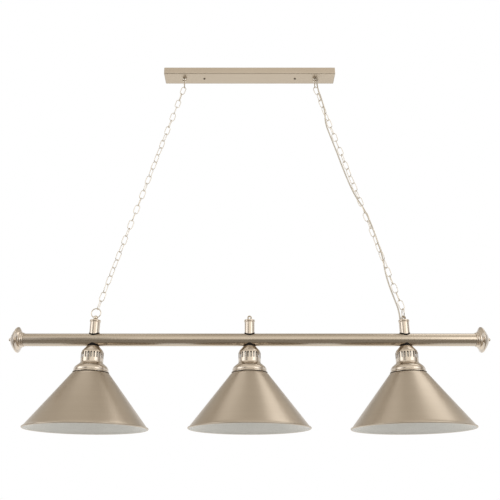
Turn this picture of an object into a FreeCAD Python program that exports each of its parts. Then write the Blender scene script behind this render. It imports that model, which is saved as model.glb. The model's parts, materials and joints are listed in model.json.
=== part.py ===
import FreeCAD, Part
import math
import os

from FreeCAD import Vector

# Three-shade pool table lamp, hung from a ceiling canopy by two chains.
# Millimetres.  The origin is the centre of the canopy's top face, on the ceiling.
# +Z is up, X runs along the bar and the front is -Y.

# ---- driving dimensions ------------------------------------------------------

# ceiling canopy, a folded sheet metal box, open at the top
canopy_length = 600.0
canopy_depth = 60.0
canopy_height = 25.5
canopy_wall = 1.2
canopy_corner = 3.0

# bracket that is screwed to the ceiling inside the canopy
bracket_length = 360.0
bracket_depth = 38.0
bracket_thickness = 2.5
bracket_slot_spacing = 88.9
bracket_slot_length = 20.0
bracket_slot_width = 5.0
bracket_hole = 11.0

# dome head screws that hold the canopy to its bracket
canopy_screw_spacing = 320.0
canopy_screw_thread = 5.0
canopy_screw_head = 8.5
canopy_screw_dome = 3.4

# ball shaped eyes
eye_spacing = 460.0
ball_diameter = 15.0
ball_drop = 6.5
eye_hole = 5.5
eye_waist = 0.4
eye_flare = 1.3
ball_flare = 0.5
eye_shank = 6.0
ball_thread_depth = 4.0
eye_nut_height = 5.0
eye_nut_flats = 10.0

# chain
link_nominal_pitch = 28.1
link_width = 17.5
link_wire = 2.4
link_twist = 97.0
ring_diameter = 32.0
ring_wire = 3.2

# bar
bar_drop = 965.0
bar_diameter = 38.0
bar_wall = 1.5
bar_overall = 1452.0
sleeve_length = 120.0
sleeve_wall = 1.5
lamp_spacing = 470.0

# end finials
finial_length = 46.0
finial_diameter = 77.0
finial_collar_diameter = 43.0
finial_knob_diameter = 10.0
finial_spigot_length = 12.0

# ferrules on top of the bar
ferrule_top = 61.3
ferrule_diameter = 30.0
ferrule_lip_diameter = 33.0
ferrule_lip_height = 7.0
ferrule_wall = 1.5
saddle_thickness = 3.0

# threaded stem through each lamp
stem_diameter = 10.0
stem_bore = 6.5
stem_bottom = 48.0

# vented necks
neck_top_radius = 18.8
neck_top_depth = 20.4
neck_body_radius = 33.3
neck_flange_radius = 53.6
neck_depth = 99.3
neck_wall = 1.2
neck_slots = 24
neck_slot_width = 5.4
neck_slot_height = 18.0
neck_slot_depth = 49.0
neck_gasket_radius = 15.5
neck_nut_height = 5.0
neck_nut_flats = 17.0
liner_radius = 26.0
liner_wall = 0.8
liner_depth = 92.0

# shades
shade_gasket_thickness = 1.0
shade_rim_diameter = 356.0
shade_rim_depth = 261.0
shade_wall = 1.2
shade_hem_wire = 3.4

# lamp holder, shade ring and bulb
holder_diameter = 40.0
holder_top_depth = 38.0
holder_depth = 112.0
holder_seat_depth = 80.0
shade_ring_diameter = 60.0
shade_ring_height = 6.0
shade_ring_notches = 12
bulb_cap_diameter = 26.0
bulb_diameter = 60.0
bulb_depth = 186.0

# wiring and power cord
cord_diameter = 4.8
lead_diameter = 5.0
harness_diameter = 6.0
bushing_flange = 10.0
bushing_body = 7.6
bushing_height = 3.0
bushing_setback = 11.5
canopy_bushing_shift = 9.0
terminal_length = 36.0
terminal_depth = 18.0
terminal_height = 13.0
terminal_place = 110.0
terminal_bore = 4.4
earth_screw_place = 60.0
earth_screw_thread = 4.0
earth_screw_flats = 7.0
earth_screw_head = 3.0
inlet_body = 5.6
inlet_shift = 9.5
inlet_setback = 4.5

# ---- named clearances --------------------------------------------------------

link_gap = 0.3
open_pivot_gap = 0.9
eye_gap = 0.5
thread_gap = 0.05
hole_gap = 0.3
bulb_gap = 0.08
bulb_end_gap = 0.4
seat_gap = 0.02

# ---- places worked out from the dimensions -----------------------------------

up = Vector(0, 0, 1)
along = Vector(1, 0, 0)
across = Vector(0, 1, 0)
bar_z = -bar_drop
bar_radius = bar_diameter / 2
bar_inner = bar_radius - bar_wall
sleeve_outer = bar_inner - thread_gap
sleeve_inner = sleeve_outer - sleeve_wall
lamps = {"left": -lamp_spacing, "middle": 0.0, "right": lamp_spacing}
sides = {"left": -1, "right": 1}
canopy_floor = -canopy_height
eye_z = canopy_floor - ball_drop
ball_radius = ball_diameter / 2
bearing = (eye_hole - link_wire) / 2 - eye_gap
ring_bearing = (eye_hole - ring_wire) / 2 - eye_gap
top_link_inner = link_nominal_pitch + link_gap
pivot_z = eye_z - bearing + (link_wire + link_gap) / 2 - top_link_inner - link_wire
ball_z = bar_z + ferrule_top + ball_drop
ring_mean = (ring_diameter - ring_wire) / 2
pivot_x = eye_spacing / 2
ring_z = ball_z + ring_bearing + ring_mean
bushing_x = pivot_x + canopy_bushing_shift
tube_end = bar_overall / 2 - finial_length
ferrule_z = bar_z + ferrule_top
ferrule_roof = ferrule_z - 2 * ferrule_wall
shade_top = neck_depth + shade_gasket_thickness
shade_hole = holder_diameter / 2 + hole_gap


# ---- helpers -----------------------------------------------------------------

def save(name, *shapes):
    """Write one node: a single solid, or a group of separate solids."""
    solids = [solid for shape in shapes for solid in shape.Solids]
    node = solids[0] if len(solids) == 1 else Part.makeCompound(solids)
    if not node.isValid():
        raise ValueError(name + " is not a valid shape")
    node.exportStep("parts/" + name + ".step")


def cylinder(radius, bottom, top, x=0.0, y=0.0):
    """Upright cylinder between two heights."""
    return Part.makeCylinder(radius, top - bottom, Vector(x, y, bottom), up)


def tube(outer, inner, bottom, top, x=0.0, y=0.0):
    """Upright tube between two heights."""
    return cylinder(outer, bottom, top, x, y).cut(cylinder(inner, bottom - 1, top + 1, x, y))


def bar_cylinder(radius, start, end):
    """Cylinder on the bar's axis between two places along X."""
    return Part.makeCylinder(radius, end - start, Vector(start, 0, bar_z), along)


def turned(outline, turn=360):
    """Solid of revolution about Z: pairs are corners, triples are arcs' middle points."""
    edges = []
    here = Vector(outline[0][0], 0, outline[0][1])
    middle = None
    for point in outline[1:] + outline[:1]:
        place = Vector(point[0], 0, point[1])
        if len(point) == 3:
            middle = place
            continue
        if middle is None:
            edges.append(Part.LineSegment(here, place).toShape())
        else:
            edges.append(Part.Arc(here, middle, place).toShape())
        here = place
        middle = None
    face = Part.Face(Part.Wire(edges))
    return face.revolve(Vector(0, 0, 0), up, turn)


def hex_prism(flats, bottom, top, x=0.0, y=0.0):
    """Upright hexagonal prism."""
    reach = flats / math.sqrt(3)
    corners = []
    for k in range(7):
        angle = math.radians(60 * k)
        corners.append(Vector(x + reach * math.cos(angle), y + reach * math.sin(angle), bottom))
    return Part.Face(Part.makePolygon(corners)).extrude(Vector(0, 0, top - bottom))


def moved(shape, x, y, z):
    """Copy of a shape, shifted."""
    copy = shape.copy()
    copy.translate(Vector(x, y, z))
    return copy


def pointed(shape, direction):
    """Copy of a shape, turned about Y so that its -Z points along a direction in the XZ plane."""
    copy = shape.copy()
    copy.rotate(Vector(0, 0, 0), across, math.degrees(math.atan2(-direction.x, -direction.z)))
    return copy


def rounded_path(points, share=0.45):
    """Wire of straight runs joined by tangent arcs, with the arcs' radii."""
    edges = []
    radii = []
    start = points[0]
    for before, corner, after in zip(points, points[1:], points[2:]):
        back = (before - corner).normalize()
        ahead = (after - corner).normalize()
        turn = math.pi - back.getAngle(ahead)
        reach = share * min((before - corner).Length, (after - corner).Length)
        radius = reach / math.tan(turn / 2)
        radii.append(radius)
        enter = corner + back * reach
        leave = corner + ahead * reach
        inward = (back + ahead).normalize()
        nearest = corner + inward * (radius / math.cos(turn / 2) - radius)
        edges.append(Part.LineSegment(start, enter).toShape())
        edges.append(Part.Arc(enter, nearest, leave).toShape())
        start = leave
    edges.append(Part.LineSegment(start, points[-1]).toShape())
    return Part.Wire(edges), radii


def cable(points, diameter, name):
    """Round cable along a route, with its radii and volume printed."""
    path, radii = rounded_path(points)
    direction = (points[1] - points[0]).normalize()
    section = Part.Wire(Part.makeCircle(diameter / 2, points[0], direction))
    solid = path.makePipeShell([section], True, True)
    expected = math.pi * diameter ** 2 / 4 * path.Length
    print(name, "length", round(path.Length, 1), "radii", [round(radius) for radius in radii],
          "volume over section times length", round(solid.Volume / expected, 5))
    return solid


# ---- ceiling canopy ----------------------------------------------------------

def canopy_box(inset, top):
    """Rounded block of the canopy, inset on its sides and its floor."""
    length = canopy_length - 2 * inset
    depth = canopy_depth - 2 * inset
    block = Part.makeBox(length, depth, top - canopy_floor - inset,
                         Vector(-length / 2, -depth / 2, canopy_floor + inset))
    upright = [edge for edge in block.Edges if abs(edge.tangentAt(0).z) > 0.9]
    return block.makeFillet(max(canopy_corner - inset, 0.5), upright)


def eye_places():
    return [side * pivot_x for side in sides.values()]


def screw_places():
    return [side * canopy_screw_spacing / 2 for side in sides.values()]


def make_canopy():
    shell = canopy_box(0, 0).cut(canopy_box(canopy_wall, 5))
    floor_top = canopy_floor + canopy_wall
    for x in eye_places():
        shell = shell.cut(cylinder(eye_shank / 2 + hole_gap, canopy_floor - 1, floor_top + 1, x))
    for x in screw_places():
        shell = shell.cut(cylinder(canopy_screw_thread / 2 + hole_gap, canopy_floor - 1, floor_top + 1, x))
    bushing_hole = bushing_body / 2 + seat_gap
    return shell.cut(cylinder(bushing_hole, canopy_floor - 1, floor_top + 1, bushing_x, bushing_setback))


def make_bracket():
    plate = Part.makeBox(bracket_length, bracket_depth, bracket_thickness,
                         Vector(-bracket_length / 2, -bracket_depth / 2, -bracket_thickness))
    plate = plate.cut(cylinder(bracket_hole / 2, -bracket_thickness - 1, 1))
    for side in sides.values():
        half = (bracket_slot_length - bracket_slot_width) / 2
        centre = side * bracket_slot_spacing / 2
        slot = Part.makeBox(2 * half, bracket_slot_width, bracket_thickness + 2,
                            Vector(centre - half, -bracket_slot_width / 2, -bracket_thickness - 1))
        for end in (centre - half, centre + half):
            slot = slot.fuse(cylinder(bracket_slot_width / 2, -bracket_thickness - 1, 1, end))
        plate = plate.cut(slot)
        tapped = canopy_screw_thread / 2 + thread_gap
        plate = plate.cut(cylinder(tapped, -bracket_thickness - 1, 1, side * canopy_screw_spacing / 2))
    earth_hole = earth_screw_thread / 2 + thread_gap
    return plate.cut(cylinder(earth_hole, -bracket_thickness - 1, 1, -earth_screw_place))


def dome(radius, height, seat_z, x, y=0.0):
    """Domed head that hangs below a seat."""
    sphere = (radius ** 2 + height ** 2) / (2 * height)
    ball = Part.makeSphere(sphere, Vector(x, y, seat_z - height + sphere))
    return ball.common(cylinder(radius, seat_z - height - 1, seat_z, x, y))


def make_canopy_screw(x):
    shank = cylinder(canopy_screw_thread / 2, canopy_floor - 0.5, -0.5, x)
    return dome(canopy_screw_head / 2, canopy_screw_dome, canopy_floor, x).fuse(shank)


def make_earth_screw():
    seat = -bracket_thickness
    shank = cylinder(earth_screw_thread / 2, seat - 0.5, -0.4, -earth_screw_place)
    return hex_prism(earth_screw_flats, seat - earth_screw_head, seat, -earth_screw_place).fuse(shank)


def ball_with_hole(flat_on_top, hole_along_x, flare):
    """Ball centred on the origin, flat on its seat side, with a flared cross hole."""
    low, high = (-2 * ball_radius, ball_drop) if flat_on_top else (-ball_drop, 2 * ball_radius)
    keep = Part.makeBox(4 * ball_radius, 4 * ball_radius, high - low,
                        Vector(-2 * ball_radius, -2 * ball_radius, low))
    ball = Part.makeSphere(ball_radius).common(keep)
    end = ball_radius + 1
    mouth = eye_hole / 2 + flare * ball_radius
    bore = eye_hole / 2
    outline = [(0, -end), (mouth, -end), (bore, -eye_waist), (bore, eye_waist), (mouth, end), (0, end)]
    hole = turned(outline)
    hole.rotate(Vector(0, 0, 0), across if hole_along_x else along, 90)
    return ball.cut(hole)


def make_canopy_eye(x):
    """Ball eye that hangs under the canopy, its hole facing the front."""
    ball = moved(ball_with_hole(True, False, eye_flare), x, 0, eye_z)
    shank_top = canopy_floor + canopy_wall + eye_nut_height + 1.5
    shank = cylinder(eye_shank / 2, eye_z + eye_hole / 2 + 1.0, shank_top, x)
    return ball.fuse(shank)


def make_eye_nut(x):
    low = canopy_floor + canopy_wall
    nut = hex_prism(eye_nut_flats, low, low + eye_nut_height, x)
    return nut.cut(cylinder(eye_shank / 2 + thread_gap, low - 1, low + eye_nut_height + 1, x))


def make_bushing(x, y, seat, outward):
    """Cord bushing: a flange on the outer face and a body in the sheet, for a cord in its bore."""
    reach = seat + outward * bushing_height
    depth = seat - outward * 2.6
    flange = cylinder(bushing_flange / 2, min(seat, reach), max(seat, reach), x, y)
    body = cylinder(bushing_body / 2, min(seat, depth), max(seat, depth), x, y)
    bore = cylinder(cord_diameter / 2 + seat_gap, min(reach, depth) - 1, max(reach, depth) + 1, x, y)
    return flange.fuse(body).cut(bore)


def make_terminal_block():
    top = -bracket_thickness
    corner = Vector(terminal_place - terminal_length / 2, -terminal_depth / 2, top - terminal_height)
    block = Part.makeBox(terminal_length, terminal_depth, terminal_height, corner)
    ways = 3
    pitch = terminal_length / ways
    for k in range(ways):
        x = terminal_place + (k - 1) * pitch
        for y in (-terminal_depth / 4, terminal_depth / 4):
            bore = cylinder(terminal_bore / 2, top - terminal_height - 1, top - terminal_height + 6, x, y)
            block = block.cut(bore)
    return block


# ---- chain -------------------------------------------------------------------

def make_link(inner_length, twist):
    """Oval link centred on the origin, long along Z, twisted about Z from the XZ plane."""
    bend = (link_width - link_wire) / 2
    straight = inner_length / 2 + link_wire / 2 - bend
    corners = [Vector(-bend, 0, -straight), Vector(-bend, 0, straight), Vector(0, 0, straight + bend),
               Vector(bend, 0, straight), Vector(bend, 0, -straight), Vector(0, 0, -straight - bend)]
    path = Part.Wire([Part.LineSegment(corners[0], corners[1]).toShape(),
                      Part.Arc(corners[1], corners[2], corners[3]).toShape(),
                      Part.LineSegment(corners[3], corners[4]).toShape(),
                      Part.Arc(corners[4], corners[5], corners[0]).toShape()])
    section = Part.Wire(Part.makeCircle(link_wire / 2, corners[0], up))
    link = path.makePipeShell([section], True, True)
    link.rotate(Vector(0, 0, 0), up, twist)
    return link


def ring_faces_front(side):
    """The left ring faces the front, and the right one is edge-on to it."""
    return side < 0


def chain_start(side):
    return Vector(side * pivot_x, 0, pivot_z)


def chain_reach(side):
    """Line from the chain's first junction to the wire of its ring."""
    centre = Vector(side * lamp_spacing, 0, ring_z)
    if ring_faces_front(side):
        return (centre - chain_start(side)) * (1 - ring_mean / (centre - chain_start(side)).Length)
    return centre + up * ring_mean - chain_start(side)


def make_chain(side):
    """Links below a top link: the first faces the front, the last crosses the ring's wire."""
    reach = chain_reach(side)
    direction = Vector(reach).normalize()
    span = reach.Length + (ring_wire + link_gap) / 2
    links = round(span / link_nominal_pitch)
    pitch = span / links
    last_twist = 90 if ring_faces_front(side) else 0
    half_turns = round(((links - 1) * link_twist - last_twist) / 180)
    twist = (last_twist + 180 * half_turns) / (links - 1)
    chain = []
    for k in range(links):
        link = pointed(make_link(pitch + link_gap, k * twist), direction)
        link.translate(chain_start(side) + direction * (pitch * (k + 0.5)))
        chain.append(link)
    return chain


def make_top_link(side):
    """Top link, hanging straight down from its eye, edge-on to the front."""
    inner = top_link_inner + (open_pivot_gap - link_gap if side < 0 else 0)
    centre = eye_z - bearing - (inner + link_wire) / 2
    return moved(make_link(inner, 90), side * pivot_x, 0, centre)


def make_ring(side):
    """Ring that stands in the ball eye of an outer ferrule and carries it on the chain."""
    ring = Part.makeTorus(ring_mean, ring_wire / 2)
    ring.rotate(Vector(0, 0, 0), along if ring_faces_front(side) else across, 90)
    return moved(ring, side * lamp_spacing, 0, ring_z)


# ---- bar ---------------------------------------------------------------------

def stem_holes(reach):
    """Upright holes through the bar for the three stems."""
    radius = stem_diameter / 2 + hole_gap
    return Part.makeCompound([cylinder(radius, bar_z - reach, bar_z + reach, x) for x in lamps.values()])


def make_tube(side):
    start = min(0, side * tube_end)
    end = max(0, side * tube_end)
    wall = bar_cylinder(bar_radius, start, end).cut(bar_cylinder(bar_inner, start - 1, end + 1))
    return wall.cut(stem_holes(bar_diameter))


def make_sleeve():
    half = sleeve_length / 2
    wall = bar_cylinder(sleeve_outer, -half, half).cut(bar_cylinder(sleeve_inner, -half - 1, half + 1))
    return wall.cut(stem_holes(bar_diameter))


def make_finial(side):
    """Turned end piece: collar bead, stepped back, rim, domed face with two steps, and a knob."""
    rim = finial_diameter / 2
    collar = finial_collar_diameter / 2
    knob = finial_knob_diameter / 2
    spigot = bar_inner - thread_gap
    step = finial_length / 46.0
    back = 18.0 * step
    outline = [(0, -finial_spigot_length), (spigot, -finial_spigot_length), (spigot, 0),
               (collar - 1.6, 0), (collar, 2.4 * step, "arc"), (collar - 1.6, 4.8 * step),
               (collar + 0.6, 7.6 * step, "arc"), (collar + 4.4, 8.8 * step), (collar + 4.9, 10.0 * step),
               (collar + 8.2, 12.6 * step, "arc"), (rim - 1.6, back - 1.8),
               (rim, back, "arc"), (rim - 0.8, back + 1.8),
               (rim - 2.6, back + 4.2 * step, "arc"), (rim - 6.0, back + 6.4 * step),
               (rim - 7.2, back + 6.4 * step),
               (rim - 9.6, back + 9.6 * step, "arc"), (rim - 14.4, back + 12.6 * step),
               (rim - 15.6, back + 12.6 * step),
               (rim - 21.0, back + 17.2 * step, "arc"), (knob + 4.6, back + 20.0 * step),
               (knob - 1.4, back + 20.8 * step),
               (knob, back + 24.4 * step, "arc"), (knob - 2.2, finial_length - 0.4),
               (knob - 3.4, finial_length), (0, finial_length)]
    finial = turned(outline)
    finial.rotate(Vector(0, 0, 0), across, 90 * side)
    finial.translate(Vector(side * tube_end, 0, bar_z))
    return finial


def make_harness():
    """Wires inside the tubes, with a branch beside each stem."""
    radius = harness_diameter / 2
    orbit = sleeve_inner - radius - hole_gap
    y = stem_diameter / 2 + radius + 1.5
    z = bar_z - math.sqrt(orbit ** 2 - y ** 2)
    reach = lamp_spacing + 12
    return Part.makeCylinder(radius, 2 * reach, Vector(-reach, y, z), along)


# ---- lamp pieces -------------------------------------------------------------

def make_saddle(x):
    """Black washer between the bar and the ferrule."""
    blank = tube(ferrule_diameter / 2 + 0.8, stem_diameter / 2 + hole_gap, bar_z, ferrule_z, x)
    outer = bar_cylinder(bar_radius + saddle_thickness, x - ferrule_diameter, x + ferrule_diameter)
    inner = bar_cylinder(bar_radius + seat_gap, x - ferrule_diameter, x + ferrule_diameter)
    return blank.common(outer).cut(inner)


def make_ferrule(x, with_cord):
    """Cup that stands on the saddle washer, with a closed top and a rounded lip."""
    body = ferrule_diameter / 2
    lip = ferrule_lip_diameter / 2
    lip_low = ferrule_z - ferrule_lip_height
    outline = [(0, bar_z), (body, bar_z), (body, lip_low), (lip, lip_low + 1.6), (lip, ferrule_z - 2.4),
               (lip - 0.6, ferrule_z - 0.6, "arc"), (lip - 2.4, ferrule_z), (0, ferrule_z)]
    cup = moved(turned(outline), x, 0, 0)
    cup = cup.cut(cylinder(body - ferrule_wall, bar_z - 1, ferrule_roof, x))
    cup = cup.cut(cylinder(stem_diameter / 2 + hole_gap, bar_z, ferrule_z + 1, x))
    saddle = bar_cylinder(bar_radius + saddle_thickness + seat_gap, x - body - 5, x + body + 5)
    cup = cup.cut(saddle)
    if with_cord:
        inlet = inlet_body / 2 + seat_gap
        cup = cup.cut(cylinder(inlet, ferrule_roof - 2, ferrule_z + 1, x - inlet_shift, inlet_setback))
    return cup


def make_inlet_bushing():
    """Bushing that the cord passes into on the right ferrule, behind its ball eye."""
    x = lamp_spacing - inlet_shift
    body = cylinder(inlet_body / 2, ferrule_roof, ferrule_z, x, inlet_setback)
    collar = cylinder(inlet_body / 2 + 0.6, ferrule_z, ferrule_z + 1.6, x, inlet_setback)
    bore = cylinder(cord_diameter / 2 + seat_gap, ferrule_z - 9, ferrule_z + 9, x, inlet_setback)
    eye = cylinder(ball_radius + hole_gap, ferrule_z, ferrule_z + 9, lamp_spacing)
    return body.fuse(collar).cut(bore).cut(eye)


def make_ball_eye(x, hole_along_x):
    """Ball shaped nut on the stem, with a cross hole for a ring."""
    ball = moved(ball_with_hole(False, hole_along_x, ball_flare), x, 0, ball_z)
    thread = cylinder(stem_diameter / 2, ferrule_roof - ball_thread_depth, ferrule_z + 0.6, x)
    bore = cylinder(2.4, ferrule_z - 20, ball_z - eye_hole / 2 - 1.6, x)
    return ball.fuse(thread).cut(bore)


def make_stem(x):
    """Hollow threaded stem from inside the ferrule down to the lamp holder."""
    top = ferrule_roof - ball_thread_depth - seat_gap
    return tube(stem_diameter / 2, stem_bore / 2, bar_z - stem_bottom, top, x)


def make_neck_gasket(x):
    """Black gasket between the bar and the neck."""
    low = bar_z - neck_top_depth
    blank = tube(neck_gasket_radius, stem_diameter / 2 + hole_gap, low, bar_z, x)
    return blank.cut(bar_cylinder(bar_radius + seat_gap, x - neck_flange_radius, x + neck_flange_radius))


def neck_outline(inset):
    """Half section of the neck: sloping shoulder, straight wall, flared skirt and flange."""
    body = neck_body_radius - inset
    flange = neck_flange_radius - inset
    top = -neck_top_depth - inset
    low = -neck_depth
    shoulder = -neck_top_depth - 23.5
    skirt = low + 33.0
    return [(0, top), (neck_top_radius - 0.7 * inset, top), (body - 4.1, top - 11.8),
            (body - 0.9, top - 17.2, "arc"), (body, shoulder), (body, skirt),
            (body + 0.9, skirt - 4.2, "arc"), (body + 4.8, skirt - 8.2), (flange - 9.4, skirt - 14.2),
            (flange - 5.2, skirt - 19.2, "arc"), (flange - 3.4, low + 7.4),
            (flange - 2.6, low + 3.4, "arc"), (flange, low + 1.6), (flange, low), (0, low)]


def make_neck(x):
    """Vented neck of spun sheet, with upright slots round its straight wall."""
    outer = turned(neck_outline(0))
    inner = turned(neck_outline(neck_wall))
    inner = inner.cut(cylinder(1000, -neck_depth - 1, -neck_depth + 0.01))
    plug = cylinder(neck_flange_radius - 3.4 - 1.5 * neck_wall, -neck_depth - 1, -neck_depth + 3)
    shell = outer.cut(inner).cut(plug)
    shell = shell.cut(cylinder(stem_diameter / 2 + hole_gap, -neck_depth, 0))
    half = (neck_slot_height - neck_slot_width) / 2
    start = neck_body_radius - neck_wall * 3
    reach = neck_wall * 6
    slot = Part.makeBox(reach, neck_slot_width, 2 * half,
                        Vector(start, -neck_slot_width / 2, -neck_slot_depth - half))
    for z in (-neck_slot_depth - half, -neck_slot_depth + half):
        slot = slot.fuse(Part.makeCylinder(neck_slot_width / 2, reach, Vector(start, 0, z), along))
    slots = []
    for k in range(neck_slots):
        cutter = slot.copy()
        cutter.rotate(Vector(0, 0, 0), up, (k + 0.5) * 360 / neck_slots)
        slots.append(cutter)
    shell = shell.cut(Part.makeCompound(slots))
    return moved(shell, x, 0, bar_z)


def make_liner(x):
    """Thin cup inside the neck, held under its top by the nut, that closes the view through the slots."""
    top = -neck_top_depth - neck_wall - seat_gap
    foot = neck_top_radius - 1.8
    outer = [(foot, top), (liner_radius, top - 11.4), (liner_radius, -liner_depth)]
    inner = [(liner_radius - liner_wall, -liner_depth), (liner_radius - liner_wall, top - 11.7)]
    bore = stem_diameter / 2 + hole_gap
    outline = [(bore, top)] + outer + inner + [(foot - 0.4, top - liner_wall), (bore, top - liner_wall)]
    return moved(turned(outline), x, 0, bar_z)


def make_neck_nut(x):
    high = bar_z - neck_top_depth - neck_wall - liner_wall - 2 * seat_gap
    nut = hex_prism(neck_nut_flats, high - neck_nut_height, high, x)
    return nut.cut(cylinder(stem_diameter / 2 + thread_gap, high - neck_nut_height - 1, high + 1, x))


def make_holder(x):
    """Porcelain lamp holder with a threaded skirt, a cap seat and a bore for the bulb."""
    outer = holder_diameter / 2
    waist = outer - 3.0
    cap = bulb_cap_diameter / 2 + bulb_gap
    outline = [(0, -holder_top_depth), (outer - 8.0, -holder_top_depth),
               (outer - 5.4, -holder_top_depth - 2.6), (waist, -holder_top_depth - 12),
               (waist, -neck_depth + 14), (outer, -neck_depth + 10), (outer, -holder_depth + 1.0),
               (outer - 1.0, -holder_depth), (0, -holder_depth)]
    body = turned(outline)
    body = body.cut(cylinder(cap, -holder_depth - 1, -holder_seat_depth))
    stem_socket = cylinder(stem_diameter / 2 + thread_gap, -stem_bottom - seat_gap, 0)
    wire_way = cylinder(stem_bore / 2, -stem_bottom - 12, 0)
    contact = cylinder(4.0, -holder_seat_depth - 1, -holder_seat_depth + 2.0)
    return moved(body.cut(stem_socket).cut(wire_way).cut(contact), x, 0, bar_z)


def make_shade_gasket(x):
    low = bar_z - neck_depth - shade_gasket_thickness
    inner = neck_flange_radius - 9.0
    return tube(neck_flange_radius - 0.8, inner, low + seat_gap, bar_z - neck_depth - seat_gap, x)


def make_shade(x):
    """Straight cone with a flat top that the ring clamps, and a rolled hem at the rim."""
    rim = shade_rim_diameter / 2
    shoulder = neck_flange_radius - 0.4
    hem = shade_hem_wire / 2
    slope = math.atan2(rim - hem - shoulder, shade_rim_depth - hem - shade_top)
    shift_r = shade_wall * math.cos(slope)
    shift_z = shade_wall * math.sin(slope)
    low = -shade_rim_depth + hem
    lean = shade_wall * math.tan((math.pi / 2 - slope) / 2)
    outline = [(shade_hole, -shade_top), (shoulder, -shade_top), (rim - hem, low),
               (rim - hem - shift_r, low - shift_z), (shoulder - lean, -shade_top - shade_wall),
               (shade_hole, -shade_top - shade_wall)]
    cone = turned(outline)
    bead = Part.makeTorus(rim - hem, hem, Vector(0, 0, low))
    return moved(cone.fuse(bead), x, 0, bar_z)


def make_shade_ring(x):
    """Ring on the holder's skirt that clamps the shade, with grip notches."""
    high = -shade_top - shade_wall - seat_gap
    low = high - shade_ring_height
    outer = shade_ring_diameter / 2
    inner = holder_diameter / 2 + thread_gap
    outline = [(inner, high), (outer, high), (outer, low + 1.0), (outer - 1.0, low), (inner, low)]
    ring = turned(outline)
    notches = []
    for k in range(shade_ring_notches):
        notch = cylinder(1.7, low - 1, high - 2.6, outer - 0.6)
        notch.rotate(Vector(0, 0, 0), up, (k + 0.5) * 360 / shade_ring_notches)
        notches.append(notch)
    ring = ring.cut(Part.makeCompound(notches))
    return moved(ring, x, 0, bar_z)


def make_bulb(x):
    """Screw-cap bulb: cap, flared neck and round globe."""
    cap = bulb_cap_diameter / 2
    globe = bulb_diameter / 2
    seat = -holder_seat_depth - bulb_end_gap
    centre = -bulb_depth + globe
    tilt = math.radians(38)
    join_r = globe * math.cos(tilt)
    join_z = centre + globe * math.sin(tilt)
    cap_low = seat - 25.0
    outline = [(0, seat), (5.0, seat), (cap - 2.0, seat - 3.0), (cap, seat - 4.0), (cap, cap_low),
               (cap - 0.5, cap_low - 0.8), (cap - 0.5, -holder_depth - 1.0), (join_r, join_z),
               (globe * math.cos(math.radians(-26)), centre + globe * math.sin(math.radians(-26)), "arc"),
               (0, -bulb_depth)]
    return moved(turned(outline), x, 0, bar_z)


# ---- power cord --------------------------------------------------------------

# Route beside the right chain: distance down the chain, distance outward from
# it in the plane of the lamp, and distance behind that plane.
cord_route = [
    (38.0, 12.0, 13.0), (95.0, 7.0, 16.5), (140.0, -8.5, 13.0), (200.0, -9.5, 9.5), (262.0, -8.5, 12.0),
    (324.0, -9.8, 10.0), (386.0, -8.2, 12.5), (436.0, -3.0, 16.5), (486.0, 8.0, 13.5), (546.0, 10.0, 10.0),
    (606.0, 8.6, 12.0), (660.0, 7.0, 15.5), (708.0, -3.5, 16.8), (756.0, -9.0, 13.0), (800.0, -10.5, 7.5),
]


def chain_place(down, outward, back):
    """Point beside the right chain."""
    direction = chain_reach(1).normalize()
    side = Vector(-direction.z, 0, direction.x)
    return chain_start(1) + direction * down + side * outward + across * back


cord_top = Vector(bushing_x, bushing_setback, canopy_floor + canopy_wall + 1.4)
cord_bottom = Vector(lamp_spacing - inlet_shift, inlet_setback, ferrule_roof)


def cord_points():
    """Whole visible route from the canopy's bushing to the right ferrule."""
    leave = [cord_top, cord_top - up * 32]
    enter = [cord_bottom + up * 30, cord_bottom]
    return leave + [chain_place(*place) for place in cord_route] + enter


# Lead inside the canopy, from the cord's end to the terminal block.
lead_route = [(0.0, 0.0, 0.0), (0.0, 0.0, 10.0), (-20.0, 0.8, 13.6), (-52.0, -0.4, 14.4),
              (-84.0, -1.0, 13.6), (-100.0, -5.0, 13.2)]


def lead_points():
    """Route whose last run meets the end of the terminal block square on."""
    points = [cord_top + Vector(*step) for step in lead_route]
    return points + [Vector(terminal_place + terminal_length / 2, points[-1].y, points[-1].z)]


# ---- write every node --------------------------------------------------------

os.makedirs("parts", exist_ok=True)

save("canopy", make_canopy())
save("ceiling_bracket", make_bracket())
save("canopy_screws", *[make_canopy_screw(x) for x in screw_places()])
save("eye_lock_nuts", *[make_eye_nut(x) for x in eye_places()])
save("canopy_bushing", make_bushing(bushing_x, bushing_setback, canopy_floor, -1))
save("terminal_block", make_terminal_block())
save("earth_screw", make_earth_screw())
save("joint_sleeve", make_sleeve())
save("wiring_harness", make_harness())

for name, side in sides.items():
    save("canopy_eye_" + name, make_canopy_eye(side * pivot_x))
    save("top_link_" + name, make_top_link(side))
    save("chain_" + name, *make_chain(side))
    save("ring_" + name, make_ring(side))
    save("bar_tube_" + name, make_tube(side))
    save("finial_" + name, make_finial(side))

for name, x in lamps.items():
    save("ferrule_" + name, make_ferrule(x, name == "right"))
    save("ball_eye_" + name, make_ball_eye(x, name == "left"))
    save("neck_" + name, make_neck(x))
    save("lamp_holder_" + name, make_holder(x))
    save("shade_" + name, make_shade(x))
    save("shade_ring_" + name, make_shade_ring(x))
    save("bulb_" + name, make_bulb(x))

save("saddle_washers", *[make_saddle(x) for x in lamps.values()])
save("stems", *[make_stem(x) for x in lamps.values()])
save("neck_gaskets", *[make_neck_gasket(x) for x in lamps.values()])
save("neck_liners", *[make_liner(x) for x in lamps.values()])
save("neck_nuts", *[make_neck_nut(x) for x in lamps.values()])
save("shade_gaskets", *[make_shade_gasket(x) for x in lamps.values()])
save("inlet_bushing", make_inlet_bushing())
save("power_cord", cable(cord_points(), cord_diameter, "power cord"))
save("canopy_lead", cable(lead_points(), lead_diameter, "canopy lead"))
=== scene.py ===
import json
import math

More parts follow.
